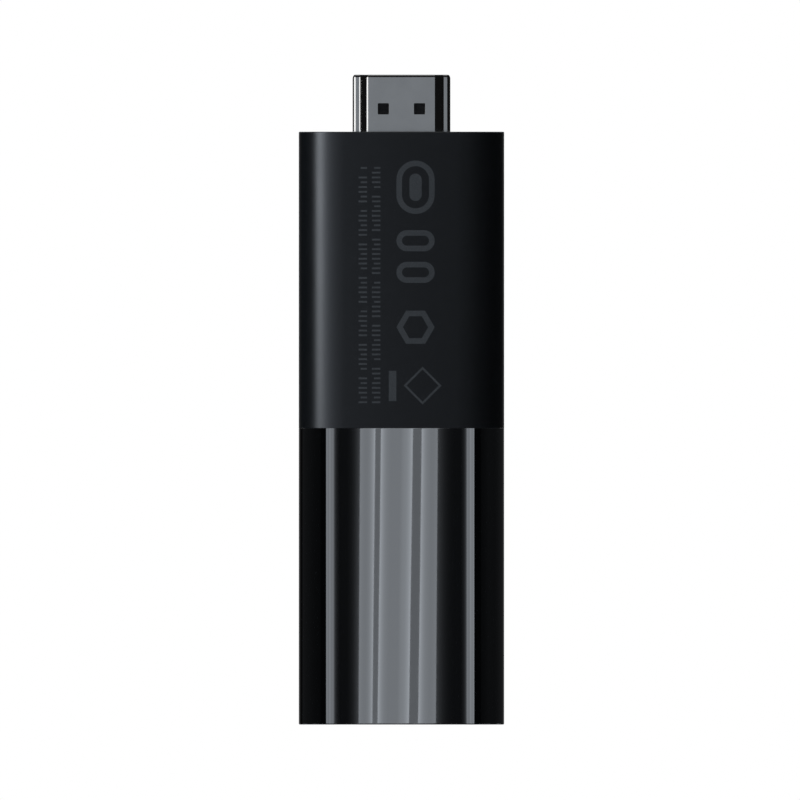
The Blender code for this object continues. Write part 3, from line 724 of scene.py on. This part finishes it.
def plug_nickel():
    """Dark nickel plate over drawn steel, with faint draw marks along the plug."""
    material, tree, shader = new_material("Dark nickel plate")
    draw = grain(tree, 0.12 * MM, detail=3.0, stretch=(1, 1, 0.06))
    cloud = grain(tree, 2.5 * MM, detail=2.0)
    colour = colours_between(tree, cloud, (0.445, 0.447, 0.446), (0.475, 0.477, 0.476))
    tree.links.new(colour, shader.inputs["Base Color"])
    tree.links.new(between(tree, draw, 0.10, 0.14), shader.inputs["Roughness"])
    shader.inputs["Metallic"].default_value = 1.0
    bump(tree, shader, draw, 0.0008 * MM, 0.5)
    return material


def ink():
    """Grey pad-printed ink, a little uneven."""
    material, tree, shader = new_material("Grey ink")
    marks = grain(tree, 0.2 * MM)
    colour = colours_between(tree, marks, (0.033, 0.037, 0.039), (0.045, 0.049, 0.052))
    tree.links.new(colour, shader.inputs["Base Color"])
    shader.inputs["Roughness"].default_value = 0.55
    return material


def board_laminate():
    """Green solder mask, lighter over the copper tracks, with small plated holes."""
    material, tree, shader = new_material("Green board laminate")
    bare, covered, gold = (0.010, 0.075, 0.040), (0.016, 0.12, 0.062), (0.55, 0.42, 0.16, 1)
    tracks_per_metre, holes_per_metre, hole_size = 220.0, 520.0, 0.11
    place = object_place(tree)
    brick = {"Vector": place, "Scale": tracks_per_metre, "Mortar Size": 0.05}
    tracks = add(tree, "ShaderNodeTexBrick", brick, offset=0.37)
    holes = add(tree, "ShaderNodeTexVoronoi", {"Vector": place, "Scale": holes_per_metre})
    mask = colours_between(tree, tracks.outputs["Fac"], bare, covered, 0, 1)
    plated = compare(tree, "LESS_THAN", holes.outputs["Distance"], hole_size)
    mix = add(tree, "ShaderNodeMix", {"Factor": plated, "B": gold}, data_type="RGBA")
    tree.links.new(mask, mix.inputs["A"])
    tree.links.new(mix.outputs["Result"], shader.inputs["Base Color"])
    tree.links.new(plated, shader.inputs["Metallic"])
    shader.inputs["Roughness"].default_value = 0.35
    bump(tree, shader, tracks.outputs["Fac"], 0.02 * MM, 0.5)
    return material


def antenna_film():
    """Copper tracks on a dark film, as a row of stripes."""
    material, tree, shader = new_material("Copper on film")
    film, copper = (0.02, 0.018, 0.015), (0.72, 0.38, 0.22)
    bands = {"Vector": object_place(tree), "Scale": 160.0}
    wave = add(tree, "ShaderNodeTexWave", bands, bands_direction="Z")
    track = compare(tree, "GREATER_THAN", wave.outputs["Fac"], 0.5)
    colour = colours_between(tree, track, film, copper, 0, 1)
    tree.links.new(colour, shader.inputs["Base Color"])
    tree.links.new(track, shader.inputs["Metallic"])
    shader.inputs["Roughness"].default_value = 0.35
    return material


def capacitor_resin():
    """Yellow moulded resin with the darker stripe of its plus end."""
    material, tree, shader = new_material("Yellow capacitor resin")
    where = add(tree, "ShaderNodeTexCoord")
    split = add(tree, "ShaderNodeSeparateXYZ", {"Vector": where.outputs["Generated"]})
    stripe = compare(tree, "LESS_THAN", split.outputs["X"], 0.22)
    mix = add(tree, "ShaderNodeMix", {"Factor": stripe}, data_type="RGBA")
    marks = colours_between(tree, grain(tree, 0.2 * MM), (0.55, 0.32, 0.05), (0.64, 0.39, 0.07))
    tree.links.new(marks, mix.inputs["A"])
    mix.inputs["B"].default_value = (0.28, 0.12, 0.02, 1)
    tree.links.new(mix.outputs["Result"], shader.inputs["Base Color"])
    shader.inputs["Roughness"].default_value = 0.45
    return material


def metal_materials():
    """Finishes of the bare and plated metal parts inside."""
    tin = ((0.50, 0.51, 0.53), (0.60, 0.61, 0.63))
    gold = ((0.86, 0.58, 0.22), (0.94, 0.68, 0.30))
    aluminium = ((0.52, 0.53, 0.54), (0.66, 0.67, 0.68))
    zinc = ((0.50, 0.51, 0.53), (0.62, 0.63, 0.65))
    brass = ((0.70, 0.50, 0.20), (0.80, 0.60, 0.28))
    along = (1, 1, 0.08)
    return {
        "dark_nickel_steel": plain_finish(
            "Tin-plated steel", tin, (0.2, 0.34), 1.0, 0.15 * MM, 0.002 * MM, along
        ),
        "gold_plating": plain_finish("Gold plating", gold, (0.16, 0.26), 0.75, 0.3 * MM),
        "cast_aluminium": plain_finish(
            "Cast aluminium", aluminium, (0.35, 0.5), 1.0, 0.25 * MM, 0.01 * MM
        ),
        "screw_steel": plain_finish("Zinc-plated screw steel", zinc, (0.25, 0.4), 1.0, 0.2 * MM),
        "brass_socket": plain_finish("Brass", brass, (0.2, 0.32), 1.0),
        "copper_film": antenna_film(),
    }


def plain_materials():
    """Finishes of the moulded, pressed and laminated parts inside."""
    nylon = ((0.004, 0.004, 0.005), (0.007, 0.007, 0.008))
    chip = ((0.014, 0.014, 0.015), (0.026, 0.026, 0.027))
    ferrite = ((0.035, 0.035, 0.038), (0.075, 0.075, 0.08))
    pad = ((0.22, 0.24, 0.27), (0.32, 0.34, 0.37))
    jacket = ((0.012, 0.012, 0.012), (0.022, 0.022, 0.022))
    return {
        "black_nylon": plain_finish(
            "Black glass-filled nylon", nylon, (0.42, 0.6), 0.0, 0.08 * MM, 0.004 * MM
        ),
        "black_chip_resin": plain_finish(
            "Black chip resin", chip, (0.5, 0.65), 0.0, 0.1 * MM, 0.004 * MM
        ),
        "grey_ferrite": plain_finish("Grey ferrite", ferrite, (0.5, 0.7), 0.0, 0.15 * MM, 0.01 * MM),
        "grey_thermal_pad": plain_finish(
            "Grey thermal pad", pad, (0.75, 0.9), 0.0, 0.5 * MM, 0.02 * MM
        ),
        "black_cable_jacket": plain_finish("Black cable jacket", jacket, (0.4, 0.5)),
        "green_board_laminate": board_laminate(),
        "yellow_capacitor_resin": capacitor_resin(),
    }


def make_materials():
    """A finish for each material slot of the record, and two more for the plug and the print."""
    outside = {
        "matte_black_plastic": matte_plastic(),
        "gloss_black_plastic": gloss_plastic(),
        "plug_nickel": plug_nickel(),
        "ink": ink(),
    }
    return {**outside, **metal_materials(), **plain_materials()}


def paint(piece, material):
    """Give a piece one material."""
    piece.data.materials.clear()
    piece.data.materials.append(material)


def dress_cad_nodes(materials):
    """Give each CAD node that stays its slot's finish and edges that catch the light."""
    slots = {part["node"]: part["material_slot"] for part in frame["record"]["subparts"]}
    for name, node in frame["nodes"].items():
        if node.hide_render:
            continue
        for place in node.material_slots:
            place.material = materials[slots[name]]
        low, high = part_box(name)
        thinnest = min(high - low)
        weld = node.modifiers.new("Weld", "WELD")
        weld.merge_threshold = WELD
        break_edges(node, min(0.05 * MM, 0.12 * thinnest), radians(50))
        even_shading(node)


# ---------------------------------------------------------------- studio

# Radii of the round walls that carry the panels: panels that overlap need walls of their own
GLOSS_WALL = 0.60
METAL_WALL = 0.62
MATTE_WALL = 0.64
REST_WALL = 0.66
ROOM_WALL = 0.68
LOW_WALL = 0.70
RING_WALL = 0.9

# How much farther out a second panel of the same kind goes
NEXT_WALL = 0.1

# Panel colours
WHITE = (1, 1, 1)
COOL = (0.93, 1.0, 1.09)
COOLER = (0.92, 1.0, 1.14)

# The level at which the ends of a slanted panel are at the azimuths given for them
SLANT_LEVEL = 21.3 * MM


def wall_patch(name, ends, wall, heights, slants):
    """A patch of a round wall about the stick, with its UV running 0 to 1 from end to end."""
    columns = max(8, int(abs(ends[1] - ends[0])))
    rows = 24
    bm = bmesh.new()
    uv = bm.loops.layers.uv.new("UVMap")
    grid = []
    for j in range(rows + 1):
        z = heights[0] + (heights[1] - heights[0]) * j / rows
        first, last = (end + slant * (z - SLANT_LEVEL) for end, slant in zip(ends, slants))
        line = []
        for i in range(columns + 1):
            share = i / columns
            turn = radians(first + (last - first) * share)
            vert = bm.verts.new((-wall * sin(turn), -wall * cos(turn), z))
            line.append((vert, share, j / rows))
        grid.append(line)
    for low, high in zip(grid, grid[1:]):
        for i in range(columns):
            corners = (low[i], low[i + 1], high[i + 1], high[i])
            face = bm.faces.new([corner[0] for corner in corners])
            for loop, corner in zip(face.loops, corners):
                loop[uv].uv = corner[1:]
    mesh = bpy.data.meshes.new(name)
    bm.to_mesh(mesh)
    bm.free()
    return mesh


def light_panel(
    name, ends, radiance, receivers, wall, heights=(-0.45, 0.45), slants=(0, 0), tint=COOL
):
    """A glowing panel on a round wall about the stick, seen only as light and in reflections.

    ends are azimuths in degrees from -Y towards -X. radiance lists its brightness at even steps
    from the first end to the second. slants turn the two ends, in degrees for each metre up.
    """
    mesh = wall_patch(name, ends, wall, heights, slants)
    mesh.materials.append(panel_glow(name, radiance, tint))
    panel = bpy.data.objects.new(name, mesh)
    bpy.context.scene.collection.objects.link(panel)
    panel.visible_camera = False
    panel.visible_shadow = False
    panel.light_linking.receiver_collection = receivers


def empty_material(name):
    """A new material with nothing in its node tree."""
    material = bpy.data.materials.new(name)
    material.use_nodes = True
    material.node_tree.nodes.clear()
    return material, material.node_tree


def shader_sum(tree, first, second):
    """Two shaders added together."""
    return add(tree, "ShaderNodeAddShader", {0: first, 1: second}).outputs[0]


def panel_glow(name, radiance, tint):
    """Light whose strength follows the list across the panel. Rays also go on to what is behind it."""
    material, tree = empty_material(name)
    where = add(tree, "ShaderNodeUVMap", uv_map="UVMap")
    split = add(tree, "ShaderNodeSeparateXYZ", {"Vector": where.outputs["UV"]})
    ramp = add(tree, "ShaderNodeValToRGB", {"Fac": split.outputs["X"]})
    strongest = max(radiance)
    stops = ramp.color_ramp.elements
    while len(stops) < len(radiance):
        stops.new(0.5)
    for i, value in enumerate(radiance):
        stops[i].position = i / (len(radiance) - 1)
        stops[i].color = (*(value / strongest * c for c in tint), 1)
    glow = add(tree, "ShaderNodeEmission", {"Color": ramp.outputs["Color"], "Strength": strongest})
    clear = add(tree, "ShaderNodeBsdfTransparent")
    both = shader_sum(tree, glow.outputs[0], clear.outputs[0])
    add(tree, "ShaderNodeOutputMaterial", {"Surface": both})
    return material


def receiver_group(name, pieces):
    """A collection that names the pieces a light falls on."""
    group = bpy.data.collections.new(name)
    for piece in pieces:
        group.objects.link(piece)
    return group


def light_gloss(receivers):
    """A window of three panes straight on, and a strip to each side."""
    rise = (8.4, 6.5, 5.3, 4.6, 4.3, 4.1)
    level = (4.05, 4.05)
    panels = [
        ("gloss_spill_left", (36.8, 24.5), (1.9, 0.55, 0.22, 0.08, 0.03), (0, 0)),
        ("gloss_glow_left", (10.7, 8.1), (0.0, 0.02, 0.08, 0.22, 0.55, 1.05), (-4, -7)),
        ("gloss_pane_left", (8.1, 5.31), (4.9, 4.3, 4.03, 4.02, 4.45, 5.7, 8.2), (-7, -14)),
        ("gloss_bar_left", (5.31, 4.26), (2.6, 2.6), (-14, -16)),
        ("gloss_pane_middle_left", (4.26, 2.37), rise, (-16, -17)),
        ("gloss_pane_middle", (2.37, 0.39), level, (-17, -18)),
        ("gloss_pane_middle_right", (0.39, -1.82), (4.2, 4.8, 5.15, 6.2, 8.4), (-18, -19)),
        ("gloss_bar_right", (-1.82, -3.56), (2.45, 2.45), (-19, -17)),
        ("gloss_pane_right_rise", (-3.56, -5.4), rise, (-17, -12)),
        ("gloss_pane_right", (-5.4, -6.8), (4.0, 4.05, 4.6), (-12, -9)),
        ("gloss_glow_right", (-6.8, -10.1), (0.85, 0.42, 0.18, 0.07, 0.02, 0.0), (-9, -6)),
        ("gloss_spill_right", (-19.0, -31.5), (0.02, 0.08, 0.2, 0.6, 1.9), (0, 0)),
        ("gloss_strip_left", (55.6, 36.8), (4.1, 4.4, 3.5, 4.6, 4.3, 3.6, 3.9, 2.8), (2, 1)),
        ("gloss_strip_right", (-31.5, -49.2), (4.3, 4.0, 3.8, 5.3, 4.4, 4.4, 5.4), (-1, 0)),
    ]
    heights = (-0.13, 0.45)
    for name, ends, radiance, slants in panels:
        light_panel(name, ends, radiance, receivers, GLOSS_WALL, heights, slants)
    side_left, side_right = (0.04, 0.05, 0.03), (0.03, 0.06, 0.04, 0.04, 0.03)
    light_panel("gloss_room", (35.0, -32.0), (0.07, 0.07), receivers, ROOM_WALL, tint=COOLER)
    light_panel("gloss_side_left", (135.0, 70.0), side_left, receivers, ROOM_WALL)
    light_panel("gloss_side_right", (-66.0, -150.0), side_right, receivers, ROOM_WALL)


def light_matte(receivers):
    """One key light far round to the left, and dim light that fades out round to the right."""
    key = (1.6, 6.0, 8.0, 5.9, 3.0)
    front = (1.6, 0.84, 0.51, 0.385, 0.285, 0.2, 0.155, 0.14, 0.105, 0.06, 0.035, 0.02, 0.005)
    light_panel("matte_key", (84.0, 60.0), key, receivers, MATTE_WALL, heights=(0.05, 0.5))
    light_panel("matte_front", (60.0, -95.0), front, receivers, MATTE_WALL, tint=COOLER)
    light_panel("matte_behind", (172.0, 188.0), (1.2, 1.2), receivers, MATTE_WALL)


def light_metal(receivers):
    """A broad bright panel to the left and a dim one in front, for the plug's stripes."""
    light_panel("metal_left", (72.0, 14.0), (2.0, 2.0), receivers, METAL_WALL, tint=WHITE)
    light_panel("metal_front", (9.0, -12.0), (0.365, 0.365), receivers, METAL_WALL)
    light_panel("metal_behind", (160.0, 200.0), (0.5, 0.5), receivers, METAL_WALL)


def light_other_sides(gloss, matte, metal):
    """Panels below eye level and behind, which the square-on view of the back never meets."""
    low = (-0.45, -0.15)
    for middle in (45, 90, 135, 180, 225, 270, 315):
        window = (middle + 7, middle - 7)
        light_panel(f"gloss_low_{middle}", window, (0.8, 1.3, 0.8), gloss, LOW_WALL, low)
    for middle in (135, 180, 225):
        wide = (middle + 20, middle - 20)
        light_panel(f"matte_low_{middle}", wide, (0.1, 0.8, 0.1), matte, MATTE_WALL + NEXT_WALL, low)
        light_panel(f"metal_low_{middle}", wide, (0.5, 1.0, 0.5), metal, METAL_WALL + NEXT_WALL, low)
    light_panel("gloss_behind", (187, 173), (0.2, 0.6, 0.6, 0.2), gloss, LOW_WALL, (-0.07, 0.45))


def light_ends(plastic):
    """Rings of light high above and far below, for the two end faces."""
    around, even = (180, -180), (0.35, 0.35)
    light_panel("ring_over", around, even, plastic, RING_WALL, (0.36, 1.6))
    light_panel("ring_under", around, even, plastic, RING_WALL + NEXT_WALL, (-1.6, -0.5))


def light_rest(receivers):
    """Even light for the small parts inside the plug and the socket."""
    for i in range(4):
        middle = 45 + 90 * i
        light_panel(f"rest_{i}", (middle + 25, middle - 25), (0.6, 0.6), receivers, REST_WALL)


def soft_square(name, height, size, radiance, receivers):
    """A square soft light straight over or under the stick."""
    data = bpy.data.lights.new(name, "AREA")
    data.size = size
    data.energy = radiance * pi * size**2
    lamp = bpy.data.objects.new(name, data)
    lamp.location = (0, 0, height)
    if height < 0:
        lamp.rotation_euler.x = pi
    bpy.context.scene.collection.objects.link(lamp)
    lamp.visible_camera = False
    lamp.light_linking.receiver_collection = receivers


def floor_finish():
    """Pale, part painted and part glowing of itself, and clear when seen from below."""
    material, tree = empty_material("Pale floor")
    own_glow, pale = 0.84, (0.8, 0.8, 0.8, 1)
    glow = add(tree, "ShaderNodeEmission", {"Strength": own_glow})
    diffuse = add(tree, "ShaderNodeBsdfDiffuse", {"Color": pale})
    both = shader_sum(tree, glow.outputs[0], diffuse.outputs[0])
    clear = add(tree, "ShaderNodeBsdfTransparent")
    side = add(tree, "ShaderNodeNewGeometry")
    mix = {0: side.outputs["Backfacing"], 1: both, 2: clear.outputs[0]}
    pick = add(tree, "ShaderNodeMixShader", mix)
    add(tree, "ShaderNodeOutputMaterial", {"Surface": pick.outputs[0]})
    return material


def make_floor():
    """A pale round floor that melts into the background and shows only a soft contact shadow."""
    bm = bmesh.new()
    bmesh.ops.create_circle(bm, cap_ends=True, radius=3.0, segments=96)
    mesh = bpy.data.meshes.new("floor")
    bm.to_mesh(mesh)
    bm.free()
    floor = bpy.data.objects.new("floor", mesh)
    floor.location.z = -0.02 * MM
    bpy.context.scene.collection.objects.link(floor)
    mesh.materials.append(floor_finish())
    floor.visible_diffuse = False
    floor.visible_glossy = False
    floor.visible_shadow = False
    return floor


def make_world():
    """White to the camera. To the stick it is nearly dark, and paler straight in front of its face."""
    world = bpy.data.worlds.new("Studio")
    bpy.context.scene.world = world
    world.use_nodes = True
    tree = world.node_tree
    tree.nodes.clear()
    where = add(tree, "ShaderNodeTexCoord")
    split = add(tree, "ShaderNodeSeparateXYZ", {"Vector": where.outputs["Generated"]})
    behind = between(tree, split.outputs["Y"], 0.01, 0.15, 0.86, 0.98)
    path = add(tree, "ShaderNodeLightPath")
    seen = add(tree, "ShaderNodeBackground", {"Color": (1, 1, 1, 1), "Strength": 1.0})
    felt = add(tree, "ShaderNodeBackground", {"Color": (1, 1, 1, 1), "Strength": behind})
    mix = {0: path.outputs["Is Camera Ray"], 1: felt.outputs[0], 2: seen.outputs[0]}
    pick = add(tree, "ShaderNodeMixShader", mix)
    add(tree, "ShaderNodeOutputWorld", {"Surface": pick.outputs[0]})


def make_camera():
    """Square to the printed back, without perspective."""
    data = bpy.data.cameras.new("camera")
    data.type = "ORTHO"
    data.ortho_scale = 113.74 * MM
    data.clip_start = 0.01
    data.clip_end = 20.0
    camera = bpy.data.objects.new("camera", data)
    camera.location = (-0.21 * MM, -0.5, 46.15 * MM)
    camera.rotation_euler = (pi / 2, 0, 0)
    bpy.context.scene.collection.objects.link(camera)
    bpy.context.scene.camera = camera


# ---------------------------------------------------------------- the whole scene


def fix(piece, material):
    """Settle a piece that doesn't move: its body and its finish."""
    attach(piece, "root")
    paint(piece, material)
    return piece


def make_pieces(materials):
    """All new pieces, in groups by the light they need. The CAD nodes that stay are dressed too."""
    matte, gloss = materials["matte_black_plastic"], materials["gloss_black_plastic"]
    nickel = materials["plug_nickel"]
    matte_cover = fix(make_matte_cover(), matte)
    gloss_cover = fix(make_gloss_cover(), gloss)
    plug_sleeve = fix(make_plug_sleeve(), nickel)
    usb_sleeve = fix(make_usb_sleeve(), nickel)
    back_print = fix(make_back_print(), materials["ink"])
    contacts = make_contact_row(1, "upper_contacts", 1.41 * MM)
    contacts += make_contact_row(2, "lower_contacts", -0.61 * MM)
    for strip in contacts:
        paint(strip, materials["gold_plating"])
    dress_cad_nodes(materials)
    return [matte_cover, back_print], [gloss_cover], [plug_sleeve, usb_sleeve], contacts


def light_scene(matte_pieces, gloss_pieces, metal_pieces, contacts, floor):
    """Each kind of surface has its own lights, so that each can look as it does in a studio."""
    matte = receiver_group("matte receivers", matte_pieces)
    gloss = receiver_group("gloss receivers", gloss_pieces)
    plastic = receiver_group("plastic receivers", matte_pieces + gloss_pieces)
    metal = receiver_group("metal receivers", metal_pieces)
    shown_nodes = [node for node in frame["nodes"].values() if not node.hide_render]
    small = receiver_group("small part receivers", contacts + shown_nodes)
    light_matte(matte)
    light_gloss(gloss)
    light_metal(metal)
    light_rest(small)
    light_other_sides(gloss, matte, metal)
    light_ends(plastic)
    soft_square("floor_light", 0.9, 0.8, 1.0, receiver_group("floor receivers", [floor]))
    far, size = 0.8, 0.5
    ends = (("over", far, 0.35, 7.0), ("under", -far, 1.5, 5.0))
    for side, height, metal_radiance, small_radiance in ends:
        soft_square(f"plastic_{side}", height, size, 1.0, plastic)
        soft_square(f"metal_{side}", height, size, metal_radiance, metal)
        soft_square(f"small_{side}", height, size, small_radiance, small)


pieces = make_pieces(make_materials())
light_scene(*pieces, make_floor())
make_world()
make_camera()
bpy.context.scene.view_settings.view_transform = "Standard"
